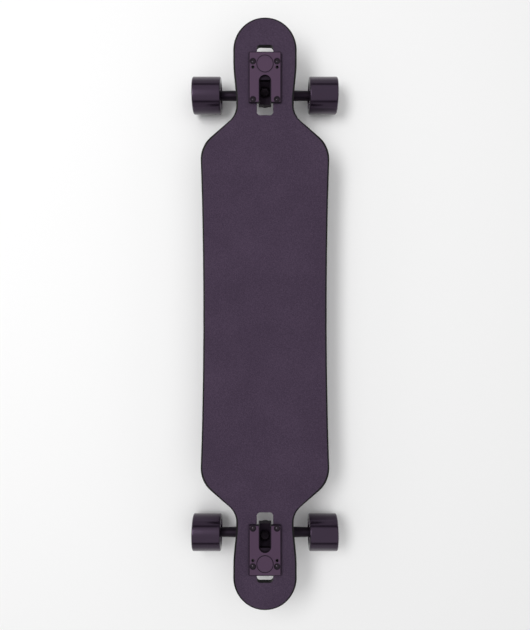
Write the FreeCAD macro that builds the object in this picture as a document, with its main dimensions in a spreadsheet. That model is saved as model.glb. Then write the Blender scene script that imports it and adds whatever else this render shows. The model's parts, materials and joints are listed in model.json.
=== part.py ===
import FreeCAD, Part
import math
import os
from types import SimpleNamespace
from FreeCAD import Placement, Rotation, Vector

# A drop-through longboard on reverse-kingpin trucks, in millimetres and degrees.
# +Z is up, +Y points to the nose, and the origin is on the floor under the middle of the board.
sizes = {
    # deck outline, half of it, its corners measured back from the tip
    "deck_length": 1016,
    "nose_half_width": 54.7,
    "nose_round_share": 0.99,
    "shoulder_from_tip": 84,
    "shoulder_round": 200,
    "neck_half_width": 49.8,
    "neck_taper_from_tip": 134,
    "neck_taper_round": 150,
    "neck_corner_from_tip": 162.5,
    "neck_round": 34.7,
    "hip_half_width": 112.9,
    "hip_corner_from_tip": 215.6,
    "hip_round": 50.9,
    "waist_corner_half_width": 104.4,
    "waist_arc_share": 0.8,
    # deck section and the rise of its ends
    "deck_thickness": 11.5,
    "rail_round": 2.5,
    "rise_from_tip": 328,
    "rocker_radius": 1911,
    "end_tilt": 4.2,
    "grip_thickness": 0.8,
    "grip_inset": 3.2,
    "glue_gap": 0.03,
    # drop-through slot and truck bolts
    "mount_from_tip": 107.55,
    "slot_from_tip": 105.3,
    "slot_width": 28.5,
    "slot_length": 118,
    "slot_round": 6,
    "bolt_pitch_x": 41.3,
    "bolt_pitch_y": 63.5,
    "spare_pitch_y": 54,
    "bolt_radius": 2.4,
    "bolt_hole_radius": 2.7,
    "bolt_head_radius": 4.4,
    "bolt_head_height": 2.4,
    "bolt_tail": 1.5,
    "recess_length": 4.8,
    "recess_width": 1.1,
    "recess_depth": 1.3,
    "locknut_flats": 9.5,
    "locknut_height": 4,
    "locknut_collar_radius": 4.2,
    "locknut_collar_height": 1.6,
    "thread_gap": 0.02,
    # baseplate
    "plate_width": 56,
    "plate_outer": 48,
    "plate_inner": 37.1,
    "plate_thickness": 5.5,
    "plate_corner_round": 2.5,
    "plate_edge_round": 0.8,
    "badge_centre": 27.7,
    "badge_radius": 14.5,
    "badge_rim_width": 1.2,
    "badge_rim_height": 0.4,
    "top_slot_width": 21.6,
    "top_slot_end": 9.7,
    "cavity_width": 18,
    "cavity_end": 3,
    "cavity_mouth_depth": 27,
    "cheek_width": 22.4,
    "cheek_inner": 31,
    "cheek_knee_depth": 45,
    "cheek_low_side": 3,
    "web_thickness": 7,
    # pivot axis, which passes through the axle
    "axle_offset": 7.55,
    "axle_drop": 56.5,
    "pivot_angle": 50,
    "ring_distance": 23,
    "barrel_mouth": 11.2,
    "barrel_end": 18.6,
    "barrel_radius": 9,
    "cup_radius": 6.4,
    "cup_depth": 6.6,
    "cup_floor": 1,
    "nose_radius": 4.2,
    "nose_root": 5,
    "nose_end_gap": 0.3,
    "running_gap": 0.05,
    "seat_gap": 0.02,
    # kingpin stack
    "kingpin_radius": 4.75,
    "kingpin_hole_gap": 0.25,
    "kingpin_head_flats": 14.3,
    "kingpin_head_height": 6,
    "kingpin_tail": 2,
    "kingpin_nut_flats": 14.3,
    "kingpin_nut_height": 6,
    "kingpin_collar_radius": 6.4,
    "kingpin_collar_height": 2,
    "bushing_radius": 12.2,
    "upper_bushing_height": 12,
    "lower_bushing_height": 11,
    "lower_bushing_end_radius": 9.4,
    "bushing_edge": 1,
    "upper_washer_radius": 13.8,
    "lower_washer_radius": 11.4,
    "washer_thickness": 1.5,
    "washer_rim_width": 1.2,
    "washer_rim_height": 1.6,
    # hanger
    "hanger_width": 180,
    "beam_end_radius": 8.2,
    "beam_middle_radius": 10,
    "beam_middle_width": 44,
    "beam_end_round": 1,
    "ring_radius": 16.5,
    "ring_thickness": 11,
    "ring_bore_radius": 8.5,
    "bushing_seat_depth": 2.5,
    "bushing_seat_gap": 0.4,
    "arm_width": 25,
    "arm_thickness": 10,
    # axle and its fasteners
    "axle_radius": 4,
    "axle_tail": 2.5,
    "axle_end_chamfer": 0.8,
    "axle_nut_flats": 12.7,
    "axle_nut_height": 5,
    "axle_collar_radius": 5.6,
    "axle_collar_height": 1.6,
    "speed_washer_radius": 6,
    "speed_washer_thickness": 1,
    "spacer_length": 10,
    "spacer_radius": 5.2,
    # bearings
    "bearing_radius": 11,
    "bearing_width": 7,
    "inner_shoulder_radius": 6.1,
    "outer_shoulder_radius": 8.9,
    "pitch_radius": 7.5,
    "ball_radius": 1.984,
    "ball_count": 7,
    "race_gap": 0.04,
    "cage_thickness": 1.2,
    "cage_width": 4.8,
    "shield_thickness": 0.35,
    "shield_inset": 0.3,
    "shield_gap": 0.2,
    # wheels
    "wheel_radius": 32.5,
    "wheel_width": 51,
    "wheel_inner": 79.5,
    "lip_round": 2.5,
    "core_radius": 19,
    "core_margin": 1.5,
    "core_web_radius": 9.2,
    "tyre_mouth_radius": 23.5,
    "window_inner_radius": 12.8,
    "window_outer_radius": 17.4,
    "window_depth": 7,
    "window_angle": 26,
    "window_count": 9,
    # how far cutting tools run past what they cut
    "overrun": 5,
}

doc = FreeCAD.newDocument("longboard")
sheet = doc.addObject("Spreadsheet::Sheet", "dims")
for row, (alias, value) in enumerate(sizes.items(), start=1):
    sheet.set(f"A{row}", str(value))
    sheet.setAlias(f"A{row}", alias)
doc.recompute()
s = SimpleNamespace(**{alias: float(sheet.get(alias)) for alias in sizes})

x_axis, y_axis, z_axis = Vector(1, 0, 0), Vector(0, 1, 0), Vector(0, 0, 1)
quarter_turn, half_turn, full_turn = 90, 180, 360
hex_side_count = 6
pieces = {}


def at(x=0, y=0, z=0, rotation=Rotation()):
    return Placement(Vector(x, y, z), rotation)


def bind(feature, expressions):
    for name, expression in expressions.items():
        feature.setExpression(name, expression)
    return feature


def solid(kind, place, **expressions):
    feature = bind(doc.addObject("Part::" + kind, kind.lower()), expressions)
    feature.Placement = place
    return feature


def hex_prism(flats, place, height):
    feature = solid("Prism", place, Circumradius=f"{flats} / 2 / cos(30)", Height=height)
    feature.Polygon = hex_side_count
    return feature


def fuse(*shapes):
    feature = doc.addObject("Part::MultiFuse", "fuse")
    feature.Shapes = shapes
    return feature


def cut(base, *tools):
    feature = doc.addObject("Part::Cut", "cut")
    feature.Base = base
    feature.Tool = tools[0] if len(tools) == 1 else fuse(*tools)
    return feature


def tube(place, outer, inner, length):
    return cut(solid("Cylinder", place, Radius=outer, Height=length),
               solid("Cylinder", place, Radius=inner, Height=length))


def group(shapes):
    feature = doc.addObject("Part::Compound", "group")
    feature.Links = shapes
    return feature


def name_piece(label, feature, place):
    feature.Label = label
    feature.Placement = place
    pieces[label] = feature


# Sketches and features of a body
def new_body(name):
    return doc.addObject("PartDesign::Body", name)


def draw(body, role, edges, lift=0):
    plane = next(f for f in body.Origin.OriginFeatures if f.Role == role)
    sketch = body.newObject("Sketcher::SketchObject", "sketch")
    sketch.AttachmentSupport = [(plane, "")]
    sketch.MapMode = "FlatFace"
    sketch.AttachmentOffset = at(z=lift)
    sketch.addGeometry(edges)
    return sketch


def pad(body, sketch, length, both_ways=False):
    feature = bind(body.newObject("PartDesign::Pad", "pad"), {"Length": length})
    feature.Profile = sketch
    feature.Midplane = both_ways
    return feature


def pocket(body, sketch, length, both_ways=False, upwards=False):
    feature = bind(body.newObject("PartDesign::Pocket", "pocket"), {"Length": length})
    feature.Profile = sketch
    feature.Midplane = both_ways
    feature.Reversed = upwards
    return feature


def revolve(body, sketch, axis):
    feature = body.newObject("PartDesign::Revolution", "revolution")
    feature.Profile = sketch
    feature.ReferenceAxis = (sketch, [axis])
    feature.Angle = full_turn
    return feature


def shape_with(body, kind, place, **expressions):
    feature = bind(body.newObject("PartDesign::" + kind, kind.lower()), expressions)
    feature.Placement = place
    return feature


def round_edges(body, radius, chosen):
    # Rounds those edges of the body so far for which chosen(edge) holds.
    doc.recompute()
    base = body.Tip
    names = [f"Edge{i}" for i, edge in enumerate(base.Shape.Edges, start=1) if chosen(edge)]
    feature = bind(body.newObject("PartDesign::Fillet", "fillet"), {"Radius": radius})
    feature.Base = (base, names)
    return feature


# Closed loop through (x, y, radius) corners, each rounded by its own radius
def rounded_loop(corners):
    points = [Vector(x, y, 0) for x, y, radius in corners]
    arcs, ends = [], []
    for i, (x, y, radius) in enumerate(corners):
        corner = points[i]
        back = (points[i - 1] - corner).normalize()
        ahead = (points[(i + 1) % len(points)] - corner).normalize()
        half = back.getAngle(ahead) / 2
        setback = radius / math.tan(half)
        start, end = corner + back * setback, corner + ahead * setback
        ends.append((start, end))
        if radius:
            inward = (back + ahead).normalize()
            arcs.append(Part.Arc(start, corner + inward * (radius / math.sin(half) - radius), end))
    lines = [Part.LineSegment(ends[i - 1][1], ends[i][0]) for i in range(len(ends))]
    return lines + arcs


def polygon(*points):
    return rounded_loop([(x, y, 0) for x, y in points])


# Places along the board, from its middle
deck_end = s.deck_length / 2
mount_y = deck_end - s.mount_from_tip
slot_y = deck_end - s.slot_from_tip
belly_half = deck_end - s.rise_from_tip
hip_corner_y = deck_end - s.hip_corner_from_tip

# Frames of a truck: x across the board, y outboard along the mounting plane, z out of the deck's top
tilt = math.radians(s.end_tilt)
mount_z = s.wheel_radius + s.axle_offset * math.sin(tilt) + s.axle_drop * math.cos(tilt)
front_mount = at(0, mount_y, mount_z, Rotation(x_axis, s.end_tilt))
turned = Placement(Vector(), Rotation(z_axis, half_turn))
mounts = {"front": front_mount, "rear": turned.multiply(front_mount)}

# The pivot axis climbs outboard through the axle; the kingpin stands square to it.
rise = s.pivot_angle - s.end_tilt
axle_point = Vector(0, -s.axle_offset, -s.axle_drop)
along = Vector(0, math.cos(math.radians(rise)), math.sin(math.radians(rise)))
headward = Vector(0, -along.z, along.y)
kingpin_turn = Rotation(x_axis, rise)
pivot_turn = Rotation(x_axis, rise - quarter_turn)
axle_frame = Placement(axle_point, Rotation())
kingpin_frame = Placement(axle_point + along * s.ring_distance, kingpin_turn)
pivot_frame = Placement(axle_point, pivot_turn)
sides = {"left": Rotation(y_axis, -quarter_turn), "right": Rotation(y_axis, quarter_turn)}


def pivot_point(distance, offset):
    point = axle_point + along * distance + headward * offset
    return point.y, point.z


# Levels along the kingpin, from the middle of the ring towards the head, and towards the nut
bushing_start = s.ring_thickness / 2 - s.bushing_seat_depth
upper_washer_level = bushing_start + s.upper_bushing_height
web_level = upper_washer_level + s.washer_thickness
head_level = web_level + s.web_thickness
lower_washer_level = bushing_start + s.lower_bushing_height
nut_level = lower_washer_level + s.washer_thickness
tail_level = nut_level + s.kingpin_nut_height + s.kingpin_collar_height + s.kingpin_tail

# Levels along the axle, from the middle of the board
washer_start = s.hanger_width / 2
inner_bearing = washer_start + s.speed_washer_thickness
spacer_start = inner_bearing + s.bearing_width
outer_bearing = spacer_start + s.spacer_length
outer_washer = outer_bearing + s.bearing_width
nut_start = outer_washer + s.speed_washer_thickness
axle_end = nut_start + s.axle_nut_height + s.axle_collar_height + s.axle_tail
bearing_starts = inner_bearing, outer_bearing

# Deck and grip
belly_z = mount_z - s.rocker_radius * (1 - math.cos(tilt)) - math.tan(tilt) * (
    mount_y - belly_half - s.rocker_radius * math.sin(tilt))
deck_top = s.grip_thickness + s.glue_gap
deck_bottom = deck_top + s.deck_thickness
bolt_places = [(x * s.bolt_pitch_x / 2, y * s.bolt_pitch_y / 2) for x in (-1, 1) for y in (-1, 1)]
spare_places = [(x * s.bolt_pitch_x / 2, s.spare_pitch_y - s.bolt_pitch_y / 2) for x in (-1, 1)]


def rocker_curve(depth):
    # Flat belly, an arc up and a straight end, at a depth under the grip's top.
    radius = s.rocker_radius + depth
    arc_end = Vector(belly_half + radius * math.sin(tilt),
                     belly_z + s.rocker_radius - radius * math.cos(tilt), 0)
    halfway = Vector(belly_half + radius * math.sin(tilt / 2),
                     belly_z + s.rocker_radius - radius * math.cos(tilt / 2), 0)
    reach = deck_end + s.overrun
    tip = Vector(reach, arc_end.y + (reach - arc_end.x) * math.tan(tilt), 0)
    return Vector(belly_half, belly_z - depth, 0), halfway, arc_end, tip


def mirrored(point):
    return Vector(-point.x, point.y, 0)


def deck_section(top, bottom):
    edges = []
    for depth in (top, bottom):
        start, halfway, arc_end, tip = rocker_curve(depth)
        edges += [Part.LineSegment(mirrored(start), start),
                  Part.Arc(start, halfway, arc_end),
                  Part.LineSegment(arc_end, tip),
                  Part.Arc(mirrored(start), mirrored(halfway), mirrored(arc_end)),
                  Part.LineSegment(mirrored(arc_end), mirrored(tip))]
    upper, lower = rocker_curve(top)[-1], rocker_curve(bottom)[-1]
    return edges + [Part.LineSegment(upper, lower), Part.LineSegment(mirrored(upper), mirrored(lower))]


def deck_outline(inset):
    waist_slope = (s.hip_half_width - s.waist_corner_half_width) / hip_corner_y
    quarter = [(s.nose_half_width - inset, deck_end - inset, s.nose_half_width * s.nose_round_share - inset),
               (s.nose_half_width - inset, deck_end - s.shoulder_from_tip, s.shoulder_round),
               (s.neck_half_width - inset, deck_end - s.neck_taper_from_tip, s.neck_taper_round),
               (s.neck_half_width - inset, deck_end - s.neck_corner_from_tip, s.neck_round),
               (s.hip_half_width - inset, hip_corner_y - inset, s.hip_round)]
    waist = [(s.waist_corner_half_width - inset, 0, s.waist_arc_share * hip_corner_y / waist_slope)]
    right = quarter + waist + [(x, -y, radius) for x, y, radius in reversed(quarter)]
    return rounded_loop(right + [(-x, y, radius) for x, y, radius in reversed(right)])


def slot_loop(end):
    half_width, half_length = s.slot_width / 2, s.slot_length / 2
    middle = end * slot_y
    return rounded_loop([(-half_width, middle - half_length, s.slot_round),
                         (half_width, middle - half_length, s.slot_round),
                         (half_width, middle + half_length, s.slot_round),
                         (-half_width, middle + half_length, s.slot_round)])


def make_board_layer(label, top, bottom, inset):
    body = new_body(label)
    pad(body, draw(body, "YZ_Plane", deck_section(top, bottom)), "2 * dims.hip_half_width", both_ways=True)
    reach_x, reach_y = s.hip_half_width + s.overrun, deck_end + s.overrun + s.overrun
    around = polygon((-reach_x, -reach_y), (reach_x, -reach_y), (reach_x, reach_y), (-reach_x, reach_y))
    pocket(body, draw(body, "XY_Plane", around + deck_outline(inset)), "dims.deck_length", both_ways=True)
    slots = slot_loop(1) + slot_loop(-1)
    pocket(body, draw(body, "XY_Plane", slots), "dims.deck_length", both_ways=True)
    for mount in mounts.values():
        for x, y in bolt_places + spare_places:
            hole = at(x, y, -deck_bottom - s.overrun)
            shape_with(body, "SubtractiveCylinder", mount.multiply(hole), Radius="dims.bolt_hole_radius",
                       Height="dims.deck_thickness + 4 * dims.overrun")
    return body


def on_rail(edge):
    # Long edges of the outline: well outside the slots and the bolt holes.
    box = edge.BoundBox
    beside = max(abs(box.XMin), abs(box.XMax)) > s.plate_width / 2
    upright = box.ZLength > s.deck_thickness - s.rail_round and box.XLength + box.YLength < s.rail_round
    beyond = max(abs(box.YMin), abs(box.YMax)) > deck_end - s.rail_round
    return (beside or beyond) and not upright


deck = make_board_layer("deck", deck_top, deck_bottom, 0)
round_edges(deck, "dims.rail_round", on_rail)
name_piece("deck", deck, Placement())
name_piece("grip_tape", make_board_layer("grip_tape", 0, s.grip_thickness, s.grip_inset), Placement())


# Baseplate: plate on the deck, two cheeks joined by a sloping web, and the pivot barrel
def make_baseplate(name):
    body = new_body(name)
    half = s.plate_width / 2
    corners = [(-half, -s.plate_inner), (half, -s.plate_inner), (half, s.plate_outer), (-half, s.plate_outer)]
    outline = rounded_loop([(x, y, s.plate_corner_round) for x, y in corners])
    pad(body, draw(body, "XY_Plane", outline), "dims.plate_thickness")
    round_edges(body, "dims.plate_edge_round", lambda edge: edge.BoundBox.ZMin > s.plate_thickness / 2)

    ramp_reach = (s.axle_drop + s.plate_thickness / 2 - web_level * along.y) / along.z
    cheek = polygon(pivot_point(ramp_reach, web_level),
                    pivot_point(-s.barrel_mouth, web_level),
                    pivot_point(-s.barrel_mouth, s.cheek_low_side),
                    pivot_point(-s.barrel_end, s.cheek_low_side),
                    (-s.cheek_inner, -s.cheek_knee_depth),
                    (-s.cheek_inner, s.plate_thickness / 2))
    pad(body, draw(body, "YZ_Plane", cheek), "dims.cheek_width", both_ways=True)
    shape_with(body, "AdditiveCylinder", pivot_frame.multiply(at(z=-s.barrel_end)),
               Radius="dims.barrel_radius", Height="dims.barrel_end - dims.barrel_mouth")

    above = s.plate_thickness + s.overrun
    past = -s.plate_inner - s.overrun
    low_end = pivot_point(s.ring_distance - s.cavity_width / 2, head_level)
    high_reach = (s.cavity_end + s.axle_offset + head_level * along.z) / along.y
    cavity = polygon(pivot_point(high_reach, head_level), low_end, (past, -s.cavity_mouth_depth),
                     (past, above), (s.cavity_end, above))
    pocket(body, draw(body, "YZ_Plane", cavity), "dims.cavity_width", both_ways=True)
    slot_half = s.top_slot_width / 2
    round_end = slot_half - s.thread_gap
    top_slot = rounded_loop([(-slot_half, past, 0), (slot_half, past, 0),
                             (slot_half, s.top_slot_end, round_end), (-slot_half, s.top_slot_end, round_end)])
    pocket(body, draw(body, "XY_Plane", top_slot), "dims.plate_thickness + dims.overrun", upwards=True)

    for x, y in bolt_places + spare_places:
        shape_with(body, "SubtractiveCylinder", at(x, y, -s.overrun), Radius="dims.bolt_hole_radius",
                   Height="dims.plate_thickness + 2 * dims.overrun")
    shape_with(body, "SubtractiveCylinder", pivot_frame.multiply(at(z=-s.barrel_mouth - s.cup_depth)),
               Radius="dims.cup_radius + dims.seat_gap", Height="dims.cup_depth + dims.overrun")
    shape_with(body, "SubtractiveCylinder", kingpin_frame.multiply(at(z=web_level - s.overrun)),
               Radius="dims.kingpin_radius + dims.kingpin_hole_gap",
               Height="dims.web_thickness + 2 * dims.overrun")

    rim = [Part.Circle(Vector(0, s.badge_centre, 0), z_axis, radius)
           for radius in (s.badge_radius, s.badge_radius - s.badge_rim_width)]
    pad(body, draw(body, "XY_Plane", rim, lift=s.plate_thickness), "dims.badge_rim_height")
    return body


def make_bolts():
    bolts = []
    grip_length = s.plate_thickness + deck_bottom + s.locknut_height + s.locknut_collar_height + s.bolt_tail
    dome = (s.bolt_head_radius ** 2 + s.bolt_head_height ** 2) / (2 * s.bolt_head_height)
    for x, y in bolt_places:
        seat = at(x, y, s.plate_thickness)
        shank = solid("Cylinder", seat.multiply(at(z=-grip_length)), Radius="dims.bolt_radius")
        shank.Height = grip_length
        blank = solid("Cylinder", seat, Radius="dims.bolt_head_radius", Height="dims.bolt_head_height")
        ball = solid("Sphere", seat.multiply(at(z=s.bolt_head_height - dome)))
        ball.Radius = dome
        head = doc.addObject("Part::Common", "head")
        head.Base, head.Tool = blank, ball
        floor = s.plate_thickness + s.bolt_head_height - s.recess_depth
        slots = [solid("Box", at(x - length / 2, y - width / 2, floor), Length=length_name, Width=width_name,
                       Height="dims.recess_depth + dims.overrun")
                 for length, width, length_name, width_name in (
                     (s.recess_length, s.recess_width, "dims.recess_length", "dims.recess_width"),
                     (s.recess_width, s.recess_length, "dims.recess_width", "dims.recess_length"))]
        bolts.append(cut(fuse(shank, head), *slots))
    return group(bolts)


def lock_nut(flats, height, collar_radius, collar_height, bore, place, nut_height):
    body = hex_prism(flats, place, height)
    collar = solid("Cylinder", place.multiply(at(z=nut_height)), Radius=collar_radius, Height=collar_height)
    hole = solid("Cylinder", place, Radius=bore, Height=f"{height} + {collar_height}")
    return cut(fuse(body, collar), hole)


def make_mounting_nuts():
    downwards = Rotation(x_axis, half_turn)
    return group([lock_nut("dims.locknut_flats", "dims.locknut_height", "dims.locknut_collar_radius",
                           "dims.locknut_collar_height", "dims.bolt_radius + dims.thread_gap",
                           at(x, y, -deck_bottom, downwards), s.locknut_height)
                  for x, y in bolt_places])


# Kingpin stack, along z from the middle of the hanger's ring towards the kingpin's head
def make_kingpin():
    shank = solid("Cylinder", at(z=-tail_level), Radius="dims.kingpin_radius")
    shank.Height = tail_level + head_level
    return fuse(shank, hex_prism("dims.kingpin_head_flats", at(z=head_level), "dims.kingpin_head_height"))


def make_kingpin_nut():
    towards_end = Rotation(x_axis, half_turn)
    return lock_nut("dims.kingpin_nut_flats", "dims.kingpin_nut_height", "dims.kingpin_collar_radius",
                    "dims.kingpin_collar_height", "dims.kingpin_radius + dims.thread_gap",
                    at(z=-nut_level, rotation=towards_end), s.kingpin_nut_height)


def make_upper_washer():
    inner = "dims.kingpin_radius + dims.kingpin_hole_gap"
    disc = tube(at(z=upper_washer_level), "dims.upper_washer_radius", inner, "dims.washer_thickness")
    rim = tube(at(z=upper_washer_level - s.washer_rim_height), "dims.upper_washer_radius",
               "dims.upper_washer_radius - dims.washer_rim_width", "dims.washer_rim_height")
    return fuse(disc, rim)


def make_lower_washer():
    inner = "dims.kingpin_radius + dims.kingpin_hole_gap"
    disc = tube(at(z=-nut_level), "dims.lower_washer_radius", inner, "dims.washer_thickness")
    rim = tube(at(z=-lower_washer_level), "dims.lower_washer_radius",
               "dims.lower_washer_radius - dims.washer_rim_width", "dims.washer_rim_height")
    return fuse(disc, rim)


def make_bushing(name, near, far, near_radius, far_radius):
    # Turned about the kingpin: a barrel or a cone with eased edges.
    body = new_body(name)
    bore = s.kingpin_radius + s.kingpin_hole_gap
    edge = s.bushing_edge if far > near else -s.bushing_edge
    profile = polygon((bore, near), (near_radius - s.bushing_edge, near), (near_radius, near + edge),
                      (far_radius, far - edge), (far_radius - s.bushing_edge, far), (bore, far))
    revolve(body, draw(body, "XZ_Plane", profile), "V_Axis")
    return body


# Pivot cup, along z towards the hanger
def make_pivot_cup():
    seat = at(z=-s.barrel_mouth - s.cup_depth)
    outside = solid("Cylinder", seat, Radius="dims.cup_radius", Height="dims.cup_depth")
    inside = solid("Cylinder", at(z=-s.barrel_mouth - s.cup_depth + s.cup_floor),
                   Radius="dims.nose_radius + dims.running_gap", Height="dims.cup_depth")
    return cut(outside, inside)


# Hanger, about the middle of its axle
def make_hanger(name):
    body = new_body(name)
    half, flat = s.hanger_width / 2, s.beam_middle_width / 2
    beam = rounded_loop([(-half, 0, 0), (-half, s.beam_end_radius, s.beam_end_round),
                         (-flat, s.beam_middle_radius, 0), (flat, s.beam_middle_radius, 0),
                         (half, s.beam_end_radius, s.beam_end_round), (half, 0, 0)])
    revolve(body, draw(body, "XY_Plane", beam), "H_Axis")
    slant = Placement(Vector(), kingpin_turn)
    arm_corner = at(-s.arm_width / 2, 0, -s.arm_thickness / 2)
    shape_with(body, "AdditiveBox", slant.multiply(arm_corner), Length="dims.arm_width",
               Width="dims.ring_distance", Height="dims.arm_thickness")
    ring = slant.multiply(at(0, s.ring_distance, 0))
    shape_with(body, "AdditiveCylinder", ring.multiply(at(z=-s.ring_thickness / 2)),
               Radius="dims.ring_radius", Height="dims.ring_thickness")
    nose_length = s.barrel_mouth + s.cup_depth - s.cup_floor - s.nose_end_gap
    nose_start = Placement(Vector(), pivot_turn).multiply(at(z=-nose_length))
    nose = shape_with(body, "AdditiveCylinder", nose_start, Radius="dims.nose_radius")
    nose.Height = nose_length - s.nose_root

    for side in (-1, 1):
        floor = bushing_start if side > 0 else -bushing_start - s.bushing_seat_depth - s.overrun
        shape_with(body, "SubtractiveCylinder", ring.multiply(at(z=floor)),
                   Radius="dims.bushing_radius + dims.bushing_seat_gap",
                   Height="dims.bushing_seat_depth + dims.overrun")
    shape_with(body, "SubtractiveCylinder", ring.multiply(at(z=-s.ring_thickness)),
               Radius="dims.ring_bore_radius", Height="2 * dims.ring_thickness")
    shape_with(body, "SubtractiveCylinder", at(-half - s.overrun, 0, 0, sides["right"]),
               Radius="dims.axle_radius + dims.seat_gap", Height="dims.hanger_width + 2 * dims.overrun")
    return body


def make_axle():
    chamfer = s.axle_end_chamfer
    body = new_body("axle")
    radius = s.axle_radius
    profile = polygon((-axle_end, 0), (-axle_end, radius - chamfer), (-axle_end + chamfer, radius),
                      (axle_end - chamfer, radius), (axle_end, radius - chamfer), (axle_end, 0))
    revolve(body, draw(body, "XY_Plane", profile), "H_Axis")
    return body


# What the axle carries, each set for both ends
def on_axle(start):
    return [at(rotation=turn).multiply(at(z=start)) for turn in sides.values()]


shaft_hole = "dims.axle_radius + dims.seat_gap"


def make_axle_nuts():
    return group([lock_nut("dims.axle_nut_flats", "dims.axle_nut_height", "dims.axle_collar_radius",
                           "dims.axle_collar_height", "dims.axle_radius + dims.thread_gap", place,
                           s.axle_nut_height)
                  for place in on_axle(nut_start)])


def make_speed_washers():
    return group([tube(place, "dims.speed_washer_radius", shaft_hole, "dims.speed_washer_thickness")
                  for start in (washer_start, outer_washer) for place in on_axle(start)])


def make_spacers():
    return group([tube(place, "dims.spacer_radius", shaft_hole, "dims.spacer_length")
                  for place in on_axle(spacer_start)])


def race(place):
    return solid("Torus", place.multiply(at(z=s.bearing_width / 2)), Radius1="dims.pitch_radius",
                 Radius2="dims.ball_radius + dims.race_gap")


def make_inner_rings():
    return group([cut(tube(place, "dims.inner_shoulder_radius", shaft_hole, "dims.bearing_width"),
                      race(place))
                  for start in bearing_starts for place in on_axle(start)])


# Wheel, along z from the middle of the board outwards
def make_outer_rings():
    places = [at(z=start) for start in bearing_starts]
    return group([cut(tube(place, "dims.bearing_radius - dims.seat_gap", "dims.outer_shoulder_radius",
                           "dims.bearing_width"), race(place))
                  for place in places])


def make_shields():
    far = s.bearing_width - s.shield_inset - s.shield_thickness
    return group([tube(at(z=start + level), "dims.outer_shoulder_radius - dims.seat_gap",
                       "dims.inner_shoulder_radius + dims.shield_gap", "dims.shield_thickness")
                  for start in bearing_starts for level in (s.shield_inset, far)])


def ball_places(start):
    step = full_turn / s.ball_count
    middle = at(z=start + s.bearing_width / 2)
    return [middle.multiply(at(rotation=Rotation(z_axis, i * step))).multiply(at(s.pitch_radius))
            for i in range(int(s.ball_count))]


def make_balls():
    return group([solid("Sphere", place, Radius="dims.ball_radius")
                  for start in bearing_starts for place in ball_places(start)])


def make_cages():
    cages = []
    for start in bearing_starts:
        outer, inner = (f"dims.pitch_radius {sign} dims.cage_thickness / 2" for sign in "+-")
        band = tube(at(z=start + (s.bearing_width - s.cage_width) / 2), outer, inner, "dims.cage_width")
        inside = at(-s.cage_thickness, rotation=sides["right"])
        cages.append(cut(band, *[solid("Cylinder", place.multiply(inside), Height="2 * dims.cage_thickness",
                                       Radius="dims.ball_radius + dims.race_gap")
                                 for place in ball_places(start)]))
    return group(cages)


core_start, core_end = inner_bearing - s.core_margin, outer_washer + s.core_margin


def make_tyre(name):
    body = new_body(name)
    outer_face = s.wheel_inner + s.wheel_width
    profile = rounded_loop([(s.core_radius, core_start, 0),
                            (s.tyre_mouth_radius, s.wheel_inner, 0),
                            (s.wheel_radius, s.wheel_inner, s.lip_round),
                            (s.wheel_radius, outer_face, s.lip_round),
                            (s.tyre_mouth_radius, outer_face, 0),
                            (s.core_radius, core_end, 0)])
    revolve(body, draw(body, "XZ_Plane", profile), "V_Axis")
    return body


def make_core(name):
    body = new_body(name)
    profile = polygon((s.bearing_radius, core_start), (s.core_radius, core_start), (s.core_radius, core_end),
                      (s.bearing_radius, core_end), (s.bearing_radius, outer_bearing),
                      (s.core_web_radius, outer_bearing), (s.core_web_radius, spacer_start),
                      (s.bearing_radius, spacer_start))
    revolve(body, draw(body, "XZ_Plane", profile), "V_Axis")
    swing = math.radians(s.window_angle) / 2
    spots = [Vector(radius * math.cos(turn), radius * math.sin(turn), 0)
             for radius in (s.window_inner_radius, s.window_outer_radius) for turn in (-swing, 0, swing)]
    window = [Part.Arc(*spots[:3]), Part.Arc(*spots[3:]),
              Part.LineSegment(spots[0], spots[3]), Part.LineSegment(spots[2], spots[5])]
    opening = pocket(body, draw(body, "XY_Plane", window, lift=core_end), "dims.window_depth")
    doc.recompute()
    ring = body.newObject("PartDesign::PolarPattern", "windows")
    ring.Originals = [opening]
    ring.Axis = (opening.Profile[0], ["N_Axis"])
    ring.Angle = full_turn
    ring.setExpression("Occurrences", "dims.window_count")
    body.Tip = ring
    return body


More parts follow.
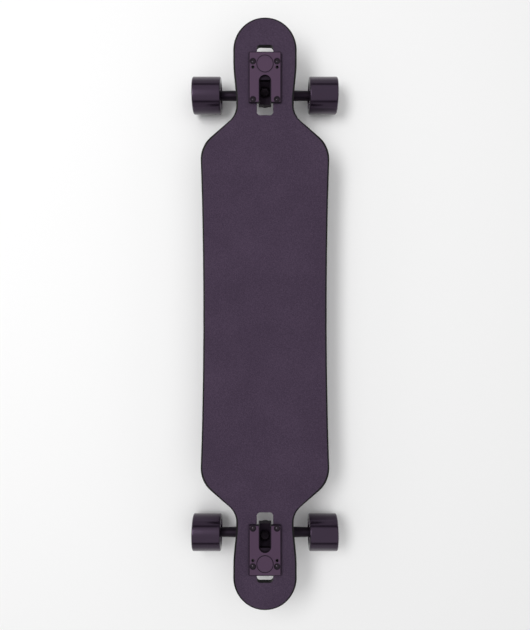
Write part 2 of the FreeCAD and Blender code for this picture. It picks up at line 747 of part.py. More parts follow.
for end, mount in mounts.items():
    axle_place = mount.multiply(axle_frame)
    kingpin_place = mount.multiply(kingpin_frame)
    name_piece(end + "_baseplate", make_baseplate(end + "_baseplate"), mount)
    name_piece(end + "_mounting_bolts", make_bolts(), mount)
    name_piece(end + "_mounting_nuts", make_mounting_nuts(), mount)
    name_piece(end + "_pivot_cup", make_pivot_cup(), mount.multiply(pivot_frame))
    name_piece(end + "_kingpin", make_kingpin(), kingpin_place)
    name_piece(end + "_kingpin_nut", make_kingpin_nut(), kingpin_place)
    name_piece(end + "_upper_washer", make_upper_washer(), kingpin_place)
    name_piece(end + "_lower_washer", make_lower_washer(), kingpin_place)
    upper = make_bushing(end + "_upper_bushing", bushing_start, upper_washer_level,
                         s.bushing_radius, s.bushing_radius)
    lower = make_bushing(end + "_lower_bushing", -bushing_start, -lower_washer_level,
                         s.bushing_radius, s.lower_bushing_end_radius)
    name_piece(end + "_upper_bushing", upper, kingpin_place)
    name_piece(end + "_lower_bushing", lower, kingpin_place)
    name_piece(end + "_hanger", make_hanger(end + "_hanger"), axle_place)
    name_piece(end + "_axle", make_axle(), axle_place)
    name_piece(end + "_axle_nuts", make_axle_nuts(), axle_place)
    name_piece(end + "_speed_washers", make_speed_washers(), axle_place)
    name_piece(end + "_bearing_inner_rings", make_inner_rings(), axle_place)
    name_piece(end + "_bearing_spacers", make_spacers(), axle_place)
    for side, turn in sides.items():
        wheel = f"{end}_{side}_"
        # The rear truck is turned round, so its own left side is on the board's right.
        outwards = turn if end == "front" else Rotation(z_axis, half_turn).multiply(turn)
        wheel_place = axle_place.multiply(at(rotation=outwards))
        name_piece(wheel + "tyre", make_tyre(wheel + "tyre"), wheel_place)
        name_piece(wheel + "core", make_core(wheel + "core"), wheel_place)
        name_piece(wheel + "bearing_outer_rings", make_outer_rings(), wheel_place)
        name_piece(wheel + "bearing_shields", make_shields(), wheel_place)
        name_piece(wheel + "bearing_balls", make_balls(), wheel_place)
        name_piece(wheel + "bearing_cages", make_cages(), wheel_place)

doc.recompute()
for feature in doc.Objects:
    if {"Invalid", "Error"} & set(feature.State):
        raise RuntimeError(f"{feature.Label} failed: {feature.State}")
for label, feature in pieces.items():
    if feature.Shape.isNull() or not feature.Shape.isValid():
        raise RuntimeError(f"{label} has no valid shape")

os.makedirs("parts", exist_ok=True)
for label, feature in pieces.items():
    feature.Shape.exportStep(f"parts/{label}.step")
print(len(pieces), "pieces,", sum(len(f.Shape.Solids) for f in pieces.values()), "solids")
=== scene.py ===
import json
import math

import bmesh
import bpy
import numpy as np
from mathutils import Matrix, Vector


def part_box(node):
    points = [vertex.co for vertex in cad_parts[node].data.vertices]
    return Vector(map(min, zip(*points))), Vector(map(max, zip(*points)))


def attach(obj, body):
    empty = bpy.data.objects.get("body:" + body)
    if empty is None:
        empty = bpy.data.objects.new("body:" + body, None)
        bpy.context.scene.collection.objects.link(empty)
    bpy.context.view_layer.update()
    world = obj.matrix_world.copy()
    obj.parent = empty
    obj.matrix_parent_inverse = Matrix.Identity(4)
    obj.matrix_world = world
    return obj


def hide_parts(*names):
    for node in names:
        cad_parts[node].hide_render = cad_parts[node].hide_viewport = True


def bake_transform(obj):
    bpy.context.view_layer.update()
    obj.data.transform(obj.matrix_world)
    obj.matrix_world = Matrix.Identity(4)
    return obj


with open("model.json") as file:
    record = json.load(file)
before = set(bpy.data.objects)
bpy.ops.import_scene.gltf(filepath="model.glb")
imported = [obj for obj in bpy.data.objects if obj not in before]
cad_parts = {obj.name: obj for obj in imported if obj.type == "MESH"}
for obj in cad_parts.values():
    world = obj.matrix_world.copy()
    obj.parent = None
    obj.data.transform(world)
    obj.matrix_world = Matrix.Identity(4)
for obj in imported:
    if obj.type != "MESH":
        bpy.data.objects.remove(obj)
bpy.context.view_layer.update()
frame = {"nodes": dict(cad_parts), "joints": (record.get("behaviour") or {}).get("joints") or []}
nodes = frame["nodes"]
scene = bpy.context.scene
scene.view_settings.view_transform = "Standard"
mm = 0.001
ends = {"front": 1, "rear": -1}
sides = ("left", "right")

# camera: straight down on the grip side, nose at the top of the picture
cameraView = {"tipPlane": 0.0915, "distance": 1.0, "pixelsPerMetre": 581.5, "imageTall": 630,
              "sensor": 36, "middleY": -0.002}
cameraData = bpy.data.cameras.new("camera")
cameraData.sensor_width = cameraView["sensor"]
imageShare = cameraView["pixelsPerMetre"] * cameraView["distance"] / cameraView["imageTall"]
cameraData.lens = imageShare * cameraView["sensor"]
camera = bpy.data.objects.new("camera", cameraData)
camera.location = 0, cameraView["middleY"], cameraView["tipPlane"] + cameraView["distance"]
scene.collection.objects.link(camera)
scene.camera = camera


def linear(code):  # sRGB hex to linear RGBA
    share = np.array([int(code[i:i + 2], 16) for i in (1, 3, 5)]) / 255
    value = np.where(share <= 0.04045, share / 12.92, ((share + 0.055) / 1.055) ** 2.4)
    return [*value.tolist(), 1.0]


def addNode(tree, kind, inputs=None, **settings):  # one node with its settings, constants and links
    made = tree.nodes.new("ShaderNode" + kind)
    for name, value in settings.items():
        setattr(made, name, value)
    for socket, value in (inputs or {}).items():
        if isinstance(value, bpy.types.NodeSocket):
            tree.links.new(value, made.inputs[socket])
        else:
            made.inputs[socket].default_value = value
    return made


def newMaterial(name):
    material = bpy.data.materials.new(name)
    material.use_nodes = True
    tree = material.node_tree
    return material, tree, tree.nodes["Principled BSDF"], addNode(tree, "TexCoord").outputs["Object"]


# studio: pale paper floor, a lamp from the upper left, and a sky that is brightest overhead like a softbox,
# with a dim ring round it that draws the dark lines beside the bands of light on the wheels
studio = {"floorHalf": 40.0, "paper": "#F4F4F4", "paperRoughness": 0.9, "paperSpecular": 0.0,
          "skyColour": "#FFFFFF", "horizon": 0.7, "dim": 0.05, "overhead": 0.97, "dimFrom": (26, 33),
          "overheadFrom": (38, 46), "lampWatts": 25, "lampSize": (0.8, 1.7), "lampPlace": (-0.95, 0.5, 2.3)}
half = studio["floorHalf"]
floorMesh = bpy.data.meshes.new("floor")
corners = [(-half, -half, 0), (half, -half, 0), (half, half, 0), (-half, half, 0)]
floorMesh.from_pydata(corners, [], [(0, 1, 2, 3)])
floor = bpy.data.objects.new("floor", floorMesh)
scene.collection.objects.link(floor)

paper, tree, shader, place = newMaterial("seamlessPaper")  # matt white paper, seen through from below
shader.inputs["Base Color"].default_value = linear(studio["paper"])
shader.inputs["Roughness"].default_value = studio["paperRoughness"]
shader.inputs["Specular IOR Level"].default_value = studio["paperSpecular"]
under = addNode(tree, "NewGeometry").outputs["Backfacing"]
seen = addNode(tree, "LightPath").outputs["Is Camera Ray"]
through = addNode(tree, "Math", {0: under, 1: seen}, operation="MULTIPLY").outputs[0]
clear = addNode(tree, "BsdfTransparent").outputs[0]
sheet = addNode(tree, "MixShader", {0: through, 1: shader.outputs[0], 2: clear}).outputs[0]
tree.links.new(sheet, tree.nodes["Material Output"].inputs["Surface"])
floorMesh.materials.append(paper)

world = bpy.data.worlds.new("studio")
scene.world = world
world.use_nodes = True
tree = world.node_tree
backdrop = tree.nodes["Background"]
backdrop.inputs["Color"].default_value = linear(studio["skyColour"])
# strength by the height of a direction: two smooth steps, each between two angles above the horizon
height = addNode(tree, "SeparateXYZ", {0: addNode(tree, "TexCoord").outputs["Generated"]}).outputs[2]
steps = []
for low, high in (studio["dimFrom"], studio["overheadFrom"]):
    steps.append(addNode(tree, "MapRange", {"Value": height, "From Min": math.sin(math.radians(low)),
                                            "From Max": math.sin(math.radians(high))},
                         interpolation_type="SMOOTHSTEP").outputs[0])
strength = addNode(tree, "Math", {0: steps[0], 1: studio["dim"] - studio["horizon"], 2: studio["horizon"]},
                   operation="MULTIPLY_ADD").outputs[0]
strength = addNode(tree, "Math", {0: steps[1], 1: studio["overhead"] - studio["dim"], 2: strength},
                   operation="MULTIPLY_ADD").outputs[0]
tree.links.new(strength, backdrop.inputs["Strength"])

lampData = bpy.data.lights.new("softbox", "AREA")
lampData.shape = "ELLIPSE"
lampData.size, lampData.size_y = studio["lampSize"]
lampData.energy = studio["lampWatts"]
lamp = bpy.data.objects.new("softbox", lampData)
lampPlace = np.array(studio["lampPlace"])
lamp.location = lampPlace.tolist()
# tilted in, with its long side along the board
lamp.rotation_euler = 0, math.atan2(lampPlace[0], lampPlace[2]), 0
scene.collection.objects.link(lamp)
print("studio: camera lens %.1f mm, lamp %d W" % (cameraData.lens, lampData.energy))

# where the middle part of a noise texture lies, which is spread over a finish's whole range
noiseSpread = {"From Min": 0.3, "From Max": 0.7}

# grip tape: silicon carbide grit glued on black film, dull and finely speckled
grip = {"colour": "#3B2F40", "fleck": "#4C3E51", "grit": 0.9, "mottle": 70, "mottleDetail": 3,
        "mottleDepth": 0.18, "palest": 0.75, "darkShare": 0.2, "roughness": 0.9, "specular": 0.15,
        "bump": 0.25, "bumpStrength": 0.55}
gripTape, tree, shader, place = newMaterial("siliconCarbideGripTape")
# grains are drawn coarser than real grit, so that they show
grains = addNode(tree, "TexVoronoi", {"Vector": place, "Scale": 1 / (grip["grit"] * mm)})
mottle = addNode(tree, "TexNoise", {"Vector": place, "Scale": 1 / (grip["mottle"] * mm),
                                    "Detail": grip["mottleDetail"]}).outputs[0]
spread = addNode(tree, "MapRange", {"Value": mottle, **noiseSpread, "To Min": -grip["mottleDepth"],
                                    "To Max": grip["mottleDepth"]}).outputs[0]
speck = addNode(tree, "SeparateColor", {0: grains.outputs["Color"]}).outputs[0]
speck = addNode(tree, "MapRange", {"Value": speck, "From Min": grip["darkShare"],
                                   "To Max": grip["palest"]}).outputs[0]
tone = addNode(tree, "Math", {0: speck, 1: spread}, operation="ADD", use_clamp=True).outputs[0]
colour = addNode(tree, "MixRGB", {"Fac": tone, "Color1": linear(grip["colour"]),
                                  "Color2": linear(grip["fleck"])})
bump = addNode(tree, "Bump", {"Height": grains.outputs["Distance"], "Strength": grip["bumpStrength"],
                              "Distance": grip["bump"] * mm})
tree.links.new(colour.outputs[0], shader.inputs["Base Color"])
tree.links.new(bump.outputs[0], shader.inputs["Normal"])
shader.inputs["Roughness"].default_value = grip["roughness"]
shader.inputs["Specular IOR Level"].default_value = grip["specular"]

# deck: seven maple veneers, black stain under satin lacquer, with gloss bands printed on the underside,
# drawn paler than the stain as painted sheen
deckSkin = {"stain": "#3A2A3C", "grainDark": "#302232", "glossBandSheen": "#4A3A4D", "rail": "#040304",
            "railLight": "#151014", "ply": 1.64, "plyLine": (0.46, 0.54), "bottom": 12.33, "edge": 0.25,
            "grainWidth": 2.2, "grainLength": 90, "grainDetail": 4, "grainBump": 0.1, "grainStrength": 0.12,
            "specular": 0.2, "satin": 0.46, "glossRoughness": 0.09, "bellyHalf": 180, "rockerRadius": 1911,
            "endTilt": 4.2, "gripThickness": 0.8, "waist": 107.8, "waistRise": 6.2e-5, "bandMargin": 8.5,
            "bands": ((158.6, 171.5), (108.4, 134.0), (51.9, 85.7), (-13.2, 28.1), (-88.3, -36.5),
                      (-175.8, -111.9), (-278.4, -199.4), (-508.0, -301.1))}
deckMaple, tree, shader, place = newMaterial("stainedMaplePlywood")
axes = addNode(tree, "SeparateXYZ", {0: place}).outputs
across = addNode(tree, "Math", {0: axes[0]}, operation="ABSOLUTE").outputs[0]
# depth under the grip's top: flat belly, then an arc of the rocker's radius, then straight at the end tilt
out = addNode(tree, "Math", {0: axes[1]}, operation="ABSOLUTE").outputs[0]
out = addNode(tree, "Math", {0: out, 1: deckSkin["bellyHalf"] * mm}, operation="SUBTRACT").outputs[0]
out = addNode(tree, "Math", {0: out, 1: 0.0}, operation="MAXIMUM").outputs[0]
tilt = math.radians(deckSkin["endTilt"])
arcReach = deckSkin["rockerRadius"] * mm * math.sin(tilt)
onArc = addNode(tree, "Math", {0: out, 1: arcReach}, operation="MINIMUM").outputs[0]
arcRise = addNode(tree, "Math", {0: onArc, 1: onArc}, operation="MULTIPLY").outputs[0]
bend = 1 / (2 * deckSkin["rockerRadius"] * mm)  # an arc rises by its reach squared over twice its radius
arcRise = addNode(tree, "Math", {0: arcRise, 1: bend}, operation="MULTIPLY").outputs[0]
beyond = addNode(tree, "Math", {0: out, 1: onArc}, operation="SUBTRACT").outputs[0]
rise = addNode(tree, "Math", {0: beyond, 1: math.tan(tilt), 2: arcRise},
               operation="MULTIPLY_ADD").outputs[0]
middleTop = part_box("grip_tape")[0].z + deckSkin["gripThickness"] * mm
crown = addNode(tree, "Math", {0: rise, 1: middleTop}, operation="ADD").outputs[0]
depth = addNode(tree, "Math", {0: crown, 1: axes[2]}, operation="SUBTRACT").outputs[0]
underside = (deckSkin["bottom"] - deckSkin["edge"]) * mm
below = addNode(tree, "Math", {0: depth, 1: underside}, operation="GREATER_THAN").outputs[0]
plyPairs = 1 / (2 * deckSkin["ply"] * mm)
plies = addNode(tree, "Math", {0: depth, 1: plyPairs}, operation="MULTIPLY").outputs[0]
plies = addNode(tree, "Math", {0: plies}, operation="FRACT").outputs[0]
plies = addNode(tree, "MapRange", {"Value": plies, "From Min": deckSkin["plyLine"][0],
                                   "From Max": deckSkin["plyLine"][1]}).outputs[0]
fine, long = 1 / (deckSkin["grainWidth"] * mm), 1 / (deckSkin["grainLength"] * mm)
stretch = addNode(tree, "Mapping", {"Vector": place, "Scale": (fine, long, fine)}).outputs[0]
grain = addNode(tree, "TexNoise", {"Vector": stretch, "Scale": 1.0,
                                   "Detail": deckSkin["grainDetail"]}).outputs[0]
inBand = 0.0
for low, high in deckSkin["bands"]:
    middle, reach = (low + high) / 2 * mm, (high - low) / 2 * mm
    off = addNode(tree, "Math", {0: axes[1], 1: middle}, operation="SUBTRACT").outputs[0]
    off = addNode(tree, "Math", {0: off}, operation="ABSOLUTE").outputs[0]
    one = addNode(tree, "Math", {0: off, 1: reach}, operation="LESS_THAN").outputs[0]
    inBand = addNode(tree, "Math", {0: inBand, 1: one}, operation="MAXIMUM").outputs[0]
square = addNode(tree, "Math", {0: axes[1], 1: axes[1]}, operation="MULTIPLY").outputs[0]
# half width of the bands at the waist, which grows with the square of the distance from it
bandHalf = (deckSkin["waist"] - deckSkin["bandMargin"]) * mm
waist = addNode(tree, "Math", {0: square, 1: deckSkin["waistRise"] / mm, 2: bandHalf},
                operation="MULTIPLY_ADD").outputs[0]
inside = addNode(tree, "Math", {0: across, 1: waist}, operation="LESS_THAN").outputs[0]
glossy = addNode(tree, "Math", {0: inBand, 1: inside}, operation="MULTIPLY").outputs[0]
glossy = addNode(tree, "Math", {0: glossy, 1: below}, operation="MULTIPLY").outputs[0]
stain = addNode(tree, "MixRGB", {"Fac": grain, "Color1": linear(deckSkin["grainDark"]),
                                 "Color2": linear(deckSkin["stain"])})
# painted sheen: the printed gloss bands take a paler colour than the stain
face = addNode(tree, "MixRGB", {"Fac": glossy, "Color1": stain.outputs[0],
                                "Color2": linear(deckSkin["glossBandSheen"])})
rail = addNode(tree, "MixRGB", {"Fac": plies, "Color1": linear(deckSkin["rail"]),
                                "Color2": linear(deckSkin["railLight"])})
skin = addNode(tree, "MixRGB", {"Fac": below, "Color1": rail.outputs[0], "Color2": face.outputs[0]})
rough = addNode(tree, "MapRange", {"Value": glossy, "To Min": deckSkin["satin"],
                                   "To Max": deckSkin["glossRoughness"]}).outputs[0]
bump = addNode(tree, "Bump", {"Height": grain, "Strength": deckSkin["grainStrength"],
                              "Distance": deckSkin["grainBump"] * mm})
shader.inputs["Specular IOR Level"].default_value = deckSkin["specular"]
tree.links.new(skin.outputs[0], shader.inputs["Base Color"])
tree.links.new(rough, shader.inputs["Roughness"])
tree.links.new(bump.outputs[0], shader.inputs["Normal"])

# truck castings: black satin paint on cast aluminium, slightly orange-peeled; the plates' top faces keep a
# paler tone, and below them the paint is drawn darker, partly as painted shade in the kingpin troughs and on
# the sides
casting = {"plateTopTone": "#483749", "colour": "#161117", "shade": "#0F0C10", "line": "#0A080B",
           "gleam": "#F3D2FF", "peel": 1.4, "peelDetail": 2, "cloud": 22, "cloudDetail": 4,
           "roughness": (0.4, 0.54), "specular": 0.2, "bump": 0.08, "bumpStrength": 0.25, "edge": 0.5,
           "endTilt": 4.2, "rim": 1.7, "rimReach": 1.0, "mount": 400.45, "badge": 27.7,
           "badgeRing": (13.4, 14.8), "boltAcross": 20.65, "boltAlong": 31.75, "boltRing": (4.0, 5.5)}
castPaint, tree, shader, place = newMaterial("paintedCastAluminium")
cloud = addNode(tree, "TexNoise", {"Vector": place, "Scale": 1 / (casting["cloud"] * mm),
                                   "Detail": casting["cloudDetail"]}).outputs[0]
peel = addNode(tree, "TexNoise", {"Vector": place, "Scale": 1 / (casting["peel"] * mm),
                                  "Detail": casting["peelDetail"]}).outputs[0]
colour = addNode(tree, "MixRGB", {"Fac": cloud, "Color1": linear(casting["shade"]),
                                  "Color2": linear(casting["colour"])})
axes = addNode(tree, "SeparateXYZ", {0: place}).outputs
tilt = math.radians(casting["endTilt"])
out = addNode(tree, "Math", {0: axes[1]}, operation="ABSOLUTE").outputs[0]
slope = addNode(tree, "Math", {0: out, 1: -math.tan(tilt), 2: axes[2]},
                operation="MULTIPLY_ADD").outputs[0]
plateLow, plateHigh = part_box("front_baseplate")
# height of the plates' top plane carried to the middle of the board, less what is rounded off at its edge
topLevel = plateHigh.z - plateHigh.y * math.tan(tilt) - casting["edge"] * mm
# painted shade: everything under the plates' top plane takes the darker tone, which stands for shade in the
# kingpin troughs and on the plates' sides
onTop = addNode(tree, "Math", {0: slope, 1: topLevel}, operation="GREATER_THAN").outputs[0]
across = addNode(tree, "Math", {0: axes[0]}, operation="ABSOLUTE").outputs[0]
# painted shade: a dark line along each plate's rim, and below, dark rings round the badge and the bolt heads
rim, rimReach = casting["rim"] * mm, casting["rimReach"] * mm
lines = addNode(tree, "Math", {0: across, 1: plateHigh.x - rim}, operation="GREATER_THAN").outputs[0]
rimEnds = ((plateHigh.y - rim, plateHigh.y + rimReach), (plateLow.y - rimReach, plateLow.y + rim))
for low, high in rimEnds:
    off = addNode(tree, "Math", {0: out, 1: (low + high) / 2}, operation="SUBTRACT").outputs[0]
    off = addNode(tree, "Math", {0: off}, operation="ABSOLUTE").outputs[0]
    near = addNode(tree, "Math", {0: off, 1: (high - low) / 2}, operation="LESS_THAN").outputs[0]
    lines = addNode(tree, "Math", {0: lines, 1: near}, operation="MAXIMUM").outputs[0]
rings = [(0, casting["badge"], casting["badgeRing"])]
rings += [(casting["boltAcross"], way * casting["boltAlong"], casting["boltRing"]) for way in (1, -1)]
for ringX, ringY, (inner, outer) in rings:  # distance from the ring's middle, kept between its two radii
    middleY = (casting["mount"] + ringY) * mm
    offX = addNode(tree, "Math", {0: across, 1: ringX * mm}, operation="SUBTRACT").outputs[0]
    offY = addNode(tree, "Math", {0: out, 1: middleY}, operation="SUBTRACT").outputs[0]
    squareY = addNode(tree, "Math", {0: offY, 1: offY}, operation="MULTIPLY").outputs[0]
    reach = addNode(tree, "Math", {0: offX, 1: offX, 2: squareY}, operation="MULTIPLY_ADD").outputs[0]
    reach = addNode(tree, "Math", {0: reach}, operation="SQRT").outputs[0]
    off = addNode(tree, "Math", {0: reach, 1: (inner + outer) / 2 * mm}, operation="SUBTRACT").outputs[0]
    off = addNode(tree, "Math", {0: off}, operation="ABSOLUTE").outputs[0]
    onRing = addNode(tree, "Math", {0: off, 1: (outer - inner) / 2 * mm}, operation="LESS_THAN").outputs[0]
    lines = addNode(tree, "Math", {0: lines, 1: onRing}, operation="MAXIMUM").outputs[0]
# painted shade: the plates' rims and the rings round the badge and the bolt heads stay dark, standing in for
# the shadow gaps there
plateTopTone = addNode(tree, "MixRGB", {"Fac": lines, "Color1": linear(casting["plateTopTone"]),
                                  "Color2": linear(casting["line"])})
colour = addNode(tree, "MixRGB", {"Fac": onTop, "Color1": colour.outputs[0], "Color2": plateTopTone.outputs[0]})
rough = addNode(tree, "MapRange", {"Value": peel, **noiseSpread, "To Min": casting["roughness"][0],
                                   "To Max": casting["roughness"][1]}).outputs[0]
bump = addNode(tree, "Bump", {"Height": peel, "Strength": casting["bumpStrength"],
                              "Distance": casting["bump"] * mm})
tree.links.new(colour.outputs[0], shader.inputs["Base Color"])
tree.links.new(rough, shader.inputs["Roughness"])
tree.links.new(bump.outputs[0], shader.inputs["Normal"])
shader.inputs["Specular IOR Level"].default_value = casting["specular"]
shader.inputs["Specular Tint"].default_value = linear(casting["gleam"])

# wheels: cast polyurethane with a ground tread, fine turned rings on tread and faces, glossy enough that
# the light lies in bands along the tread
urethane = {"colour": "#100A12", "worn": "#160F18", "gleam": "#F3D2FF", "rings": 0.55, "ringsDetail": 2,
            "cloud": 14, "cloudDetail": 5, "roughness": (0.15, 0.21), "specular": 0.58, "bump": 0.06,
            "bumpStrength": 0.05}
axlePoint = next(joint["pos_m"] for joint in frame["joints"] if joint["name"] == "front_steer")
wheelUrethane, tree, shader, place = newMaterial("castPolyurethane")
axes = addNode(tree, "SeparateXYZ", {0: place}).outputs
side = addNode(tree, "Math", {0: axes[1]}, operation="ABSOLUTE").outputs[0]
side = addNode(tree, "Math", {0: side, 1: axlePoint[1]}, operation="SUBTRACT").outputs[0]
lift = addNode(tree, "Math", {0: axes[2], 1: axlePoint[2]}, operation="SUBTRACT").outputs[0]
sideSquare = addNode(tree, "Math", {0: side, 1: side}, operation="MULTIPLY").outputs[0]
radial = addNode(tree, "Math", {0: lift, 1: lift, 2: sideSquare}, operation="MULTIPLY_ADD").outputs[0]
radial = addNode(tree, "Math", {0: radial}, operation="SQRT").outputs[0]
turned = addNode(tree, "CombineXYZ", {0: axes[0], 1: radial}).outputs[0]
rings = addNode(tree, "TexNoise", {"Vector": turned, "Scale": 1 / (urethane["rings"] * mm),
                                   "Detail": urethane["ringsDetail"]}).outputs[0]
cloud = addNode(tree, "TexNoise", {"Vector": place, "Scale": 1 / (urethane["cloud"] * mm),
                                   "Detail": urethane["cloudDetail"]}).outputs[0]
colour = addNode(tree, "MixRGB", {"Fac": cloud, "Color1": linear(urethane["colour"]),
                                  "Color2": linear(urethane["worn"])})
rough = addNode(tree, "MapRange", {"Value": rings, **noiseSpread, "To Min": urethane["roughness"][0],
                                   "To Max": urethane["roughness"][1]}).outputs[0]
bump = addNode(tree, "Bump", {"Height": rings, "Strength": urethane["bumpStrength"],
                              "Distance": urethane["bump"] * mm})
tree.links.new(colour.outputs[0], shader.inputs["Base Color"])
tree.links.new(rough, shader.inputs["Roughness"])
tree.links.new(bump.outputs[0], shader.inputs["Normal"])
shader.inputs["Specular IOR Level"].default_value = urethane["specular"]
shader.inputs["Specular Tint"].default_value = linear(urethane["gleam"])

# smaller finishes: (dark, light, pattern size in mm, roughness range, metallic, bump depth in mm)
plain = {
    "blackOxideSteel": ("#2A242B", "#3A333B", 1.2, (0.3, 0.45), 1.0, 0.02),  # blacked hot: a soft gleam
    "blackZincSteel": ("#2E282F", "#423B43", 1.2, (0.12, 0.2), 1.0, 0.01),  # plated: dark, a sharp gleam
    "zincPlatedSteel": ("#8E8C8C", "#A5A3A1", 0.8, (0.24, 0.38), 1.0, 0.015),  # pale, slightly clouded
    "groundBearingSteel": ("#A9A9AB", "#BDBDBF", 0.5, (0.14, 0.24), 1.0, 0.005),  # ground: bright, crisp
    "mouldedNylon": ("#1C181D", "#272229", 0.9, (0.42, 0.56), 0.0, 0.04),  # injected: dull, fine grain
    "bushingUrethane": ("#221B23", "#2D2430", 6.0, (0.34, 0.46), 0.0, 0.03),  # poured: satin, clouded
}
plainPattern = {"detail": 3, "bumpStrength": 0.3}
finishes = {}
for name, (dark, light, size, roughness, metallic, relief) in plain.items():
    finishes[name], tree, shader, place = newMaterial(name)
    pattern = addNode(tree, "TexNoise", {"Vector": place, "Scale": 1 / (size * mm),
                                         "Detail": plainPattern["detail"]}).outputs[0]
    colour = addNode(tree, "MixRGB", {"Fac": pattern, "Color1": linear(dark), "Color2": linear(light)})
    rough = addNode(tree, "MapRange", {"Value": pattern, **noiseSpread, "To Min": roughness[0],
                                       "To Max": roughness[1]}).outputs[0]
    bump = addNode(tree, "Bump", {"Height": pattern, "Strength": plainPattern["bumpStrength"],
                                  "Distance": relief * mm})
    tree.links.new(colour.outputs[0], shader.inputs["Base Color"])
    tree.links.new(rough, shader.inputs["Roughness"])
    tree.links.new(bump.outputs[0], shader.inputs["Normal"])
    shader.inputs["Metallic"].default_value = metallic
finishes.update(grip=gripTape, deck=deckMaple, casting=castPaint, urethane=wheelUrethane)

finishOf = {
    "deck": "deck", "grip_tape": "grip", "baseplate": "casting", "hanger": "casting", "tyre": "urethane",
    "mounting_bolts": "blackZincSteel", "mounting_nuts": "blackOxideSteel", "kingpin": "blackOxideSteel",
    "kingpin_nut": "blackOxideSteel", "upper_washer": "blackOxideSteel", "lower_washer": "blackOxideSteel",
    "axle": "zincPlatedSteel", "axle_nuts": "zincPlatedSteel", "speed_washers": "zincPlatedSteel",
    "bearing_spacers": "zincPlatedSteel", "bearing_inner_rings": "groundBearingSteel",
    "bearing_outer_rings": "groundBearingSteel", "bearing_shields": "zincPlatedSteel",
    "bearing_balls": "groundBearingSteel", "bearing_cages": "mouldedNylon", "pivot_cup": "mouldedNylon",
    "core": "mouldedNylon", "upper_bushing": "bushingUrethane", "lower_bushing": "bushingUrethane",
}
prefixes = [f"{end}_{side}_" for end in ends for side in sides] + [f"{end}_" for end in ends]
for name, piece in nodes.items():
    kind = next((name[len(prefix):] for prefix in prefixes if name.startswith(prefix)), name)
    piece.data.materials.clear()
    piece.data.materials.append(finishes[finishOf[kind]])
print("materials: %d finishes on %d nodes" % (len(finishes), len(nodes)))

# turned and hexagonal pieces: radius and height on a grid of rows by angles, carried to origin along axis
turns = {"angles": 72, "sharpFrom": 32, "merge": 1e-7, "sliver": 1e-8}
angles = np.linspace(0, 2 * np.pi, turns["angles"], endpoint=False)
evenRow = np.ones_like(angles)  # a row of equal radii


# point = origin + height * axis + radius * (cosine of the angle * one + sine of the angle * two)
def sleeve(radii, heights, origin, axis):
    axis = np.array(axis, float)
    one = np.array([0.0, 0.0, 1.0]) if axis[0] else np.array([1.0, 0.0, 0.0])
    two = np.cross(axis, one)
    radii = np.asarray(radii, float).reshape(len(heights), -1) * np.ones(len(angles)) * mm
    lift = np.asarray(heights, float)[:, None, None] * mm * axis
    ring = np.cos(angles)[:, None] * one + np.sin(angles)[:, None] * two
    return np.asarray(origin, float) + lift + radii[:, :, None] * ring


def hexRadius(flats):  # distance to the side of a hexagon at each angle, a corner at angle nought
    return flats / 2 / np.cos(angles % (np.pi / 3) - np.pi / 6)


# each grid of rows by angles closes round the angles, and from the last row back to the first
def addPiece(name, grids, finish):
    points, faces, start = [], [], 0
    for grid in grids:
        rows, columns = grid.shape[:2]
        index = start + np.arange(rows * columns).reshape(rows, columns)
        ahead, beside = np.roll(index, -1, 0), np.roll(index, -1, 1)
        faces.append(np.stack([index, beside, np.roll(ahead, -1, 1), ahead], -1).reshape(-1, 4))
        points.append(grid.reshape(-1, 3))
        start += rows * columns
    mesh = bpy.data.meshes.new(name)
    mesh.from_pydata(np.concatenate(points).tolist(), [], np.concatenate(faces).tolist())
    shell = bmesh.new()
    shell.from_mesh(mesh)
    bmesh.ops.remove_doubles(shell, verts=shell.verts, dist=turns["merge"])  # closes the poles
    bmesh.ops.dissolve_degenerate(shell, edges=shell.edges, dist=turns["sliver"])
    bmesh.ops.recalc_face_normals(shell, faces=shell.faces)
    shell.to_mesh(mesh)
    shell.free()
    mesh.shade_smooth()
    mesh.set_sharp_from_angle(angle=math.radians(turns["sharpFrom"]))
    mesh.materials.append(finishes[finish])
    piece = bpy.data.objects.new(name, mesh)
    scene.collection.objects.link(piece)
    return piece


# steering stack: its axis runs from the nut up and inwards to the kingpin's head, square to the pivot axis
stack = {"pivotAngle": 50, "ringDistance": 23, "bushingStart": 3, "upperHeight": 12, "lowerHeight": 11,
         "bushingRadius": 12.2, "coneRadius": 9.4, "bore": 5.0, "edge": 1.3, "bulge": 0.55, "edgeRows": 7,
         "sideRows": 15, "seatDepth": 2.5, "washerRim": 1.6, "washer": 1.5, "web": 7, "pinRadius": 4.75,
         "headFlats": 14.3, "headHeight": 6, "headRound": 0.1, "headFoot": 0.3, "headBevel": 0.7,
         "headDish": 1.2, "pinTip": 0.7, "nutFlats": 14.3, "nutHeight": 6, "collarRadius": 6.4,
         "collarHeight": 2, "tail": 2}
# rolled threads and locknuts, for the kingpins and the axles alike
threads = {"pitch": 1.06, "rowsPerTurn": 8, "depth": 0.6, "gap": 0.02, "lead": 0.6, "cornerRound": 0.15,
           "chamfer": 0.8, "dome": 0.8, "domeRows": 6}


# barrel or cone: a straight side with a sine bulge, and quarter-round edges
def bushingLoop(near, far, nearRadius, farRadius):
    way = 1 if far > near else -1
    turn = np.linspace(0, np.pi / 2, stack["edgeRows"])
    edge, bulge = stack["edge"], stack["bulge"]
    rise = np.linspace(0, 1, stack["sideRows"])[1:-1]
    low, high = near + way * edge, far - way * edge
    radii = np.concatenate([[stack["bore"], (stack["bore"] + nearRadius) / 2],
                            nearRadius - edge + edge * np.sin(turn),
                            nearRadius + (farRadius - nearRadius) * rise + bulge * np.sin(np.pi * rise),
                            farRadius - edge + edge * np.cos(turn),
                            [(stack["bore"] + farRadius) / 2, stack["bore"]]])
    heights = np.concatenate([[near, near], low - way * edge * np.cos(turn), low + (high - low) * rise,
                              high + way * edge * np.sin(turn), [far, far]])
    return radii, heights


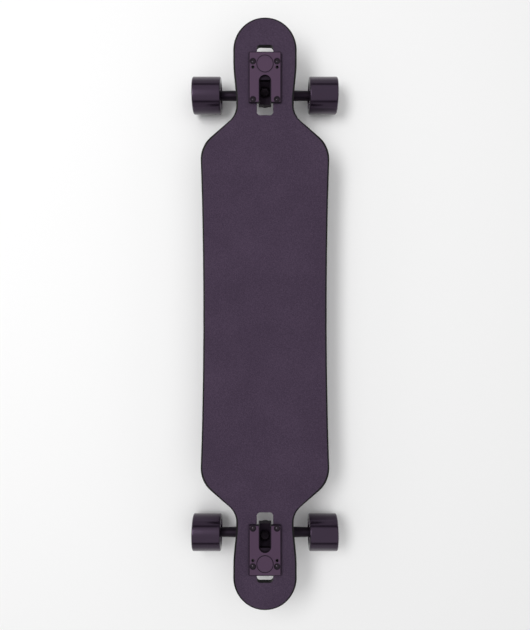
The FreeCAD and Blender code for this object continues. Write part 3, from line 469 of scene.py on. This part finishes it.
def threadRows(start, end, radius):  # triangular ridge that climbs one pitch each turn
    heights = np.arange(start, end, threads["pitch"] / threads["rowsPerTurn"])
    phase = (heights[:, None] / threads["pitch"] - angles / (2 * np.pi)) % 1
    return radius - threads["depth"] * np.abs(2 * phase - 1), heights


# hexagon with chamfered corners and a domed collar: the collar's edge is a quarter circle
def lockNut(flats, height, threadRadius, collarRadius, collarHeight):
    bore, dome, chamfer = threadRadius + threads["gap"], threads["dome"], threads["chamfer"]
    turn = np.linspace(0, np.pi / 2, threads["domeRows"])
    hexagon = hexRadius(flats)
    corner = np.minimum(hexagon, flats / 2 + threads["cornerRound"])
    collar = (collarRadius - dome + dome * np.cos(turn))[:, None] * evenRow
    radii = np.vstack([bore * evenRow, corner, hexagon, hexagon, corner, collarRadius * evenRow, collar,
                       bore * evenRow])
    top = height + collarHeight
    heights = np.concatenate([[0, 0, chamfer / 2, height - chamfer, height, height],
                              top - dome + dome * np.sin(turn), [top]])
    return radii, heights


upperWasher = stack["bushingStart"] + stack["upperHeight"]
headLevel = upperWasher + stack["washer"] + stack["web"]
lowerWasher = stack["bushingStart"] + stack["lowerHeight"]
nutLevel = lowerWasher + stack["washer"]
tailLevel = nutLevel + stack["nutHeight"] + stack["collarHeight"] + stack["tail"]
pivotAngle = math.radians(stack["pivotAngle"])
for end, way in ends.items():
    axle = np.array([0, way * axlePoint[1], axlePoint[2]])
    along = np.array([0, way * math.cos(pivotAngle), math.sin(pivotAngle)])
    headward = np.array([0, -way * math.sin(pivotAngle), math.cos(pivotAngle)])
    ring = axle + along * stack["ringDistance"] * mm
    for name, sign, far, farRadius in (("upper", 1, upperWasher, stack["bushingRadius"]),
                                       ("lower", -1, lowerWasher, stack["coneRadius"])):
        loop = bushingLoop(sign * stack["bushingStart"], sign * far, stack["bushingRadius"], farRadius)
        barrel = sleeve(*loop, ring, headward)
        bushing = addPiece(f"{end}_{name}_bushing_moulding", [barrel], "bushingUrethane")
        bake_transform(bushing)
        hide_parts(f"{end}_{name}_bushing")

    thread, levels = threadRows(-tailLevel + threads["lead"], -lowerWasher, stack["pinRadius"])
    head = hexRadius(stack["headFlats"])
    crown = np.minimum(head, stack["headFlats"] / 2 + stack["headRound"])
    shank, tip = stack["pinRadius"] * evenRow, (stack["pinRadius"] - stack["pinTip"]) * evenRow
    dish = (stack["headFlats"] / 2 - stack["headDish"]) * evenRow
    radii = np.vstack([0 * evenRow, tip, thread, shank, shank, crown, head, head, crown, dish, 0 * evenRow])
    top = headLevel + stack["headHeight"]
    heights = np.concatenate([[-tailLevel, -tailLevel], levels,
                              [-lowerWasher, headLevel, headLevel, headLevel + stack["headFoot"],
                               top - stack["headBevel"], top, top, top]])
    kingpin = addPiece(f"{end}_kingpin_bolt", [sleeve(radii, heights, ring, headward)], "blackOxideSteel")
    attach(kingpin, "deck")
    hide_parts(f"{end}_kingpin")

    nut = lockNut(stack["nutFlats"], stack["nutHeight"], stack["pinRadius"], stack["collarRadius"],
                  stack["collarHeight"])
    nutFoot = ring - headward * nutLevel * mm
    kingpinNut = addPiece(f"{end}_kingpin_locknut", [sleeve(*nut, nutFoot, -headward)], "blackOxideSteel")
    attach(kingpinNut, "deck")
    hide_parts(f"{end}_kingpin_nut")
print("stacks: bushings, kingpins and nuts made")

# axles and their nuts: a plain shank with rolled threads at both ends
axleParts = {"radius": 4, "end": 125.1, "tip": 0.8, "threadFrom": 106, "nutFrom": 116, "nutFlats": 12.7,
             "nutHeight": 5, "collarRadius": 5.6, "collarHeight": 1.6}
rightward = np.array([1.0, 0.0, 0.0])
for end, way in ends.items():
    axle = np.array([0, way * axlePoint[1], axlePoint[2]])
    threadEnd = axleParts["end"] - threads["lead"]
    thread, levels = threadRows(axleParts["threadFrom"], threadEnd, axleParts["radius"])
    shank, tip = axleParts["radius"] * evenRow, (axleParts["radius"] - axleParts["tip"]) * evenRow
    radii = np.vstack([0 * evenRow, tip, thread[::-1], shank, shank, thread, tip, 0 * evenRow])
    rightHalf = np.concatenate([[axleParts["threadFrom"]], levels, [axleParts["end"]] * 2])
    heights = np.concatenate([-rightHalf[::-1], rightHalf])
    shaft = addPiece(f"{end}_axle_shaft", [sleeve(radii, heights, axle, rightward)], "zincPlatedSteel")
    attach(shaft, f"{end}_hanger")
    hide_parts(f"{end}_axle")
    nut = lockNut(axleParts["nutFlats"], axleParts["nutHeight"], axleParts["radius"],
                  axleParts["collarRadius"], axleParts["collarHeight"])
    nutPlace = rightward * axleParts["nutFrom"] * mm
    pair = [sleeve(*nut, axle + hand * nutPlace, hand * rightward) for hand in (-1, 1)]
    nuts = addPiece(f"{end}_axle_locknuts", pair, "zincPlatedSteel")
    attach(nuts, f"{end}_hanger")
    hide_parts(f"{end}_axle_nuts")
print("axles: shafts and nuts made")
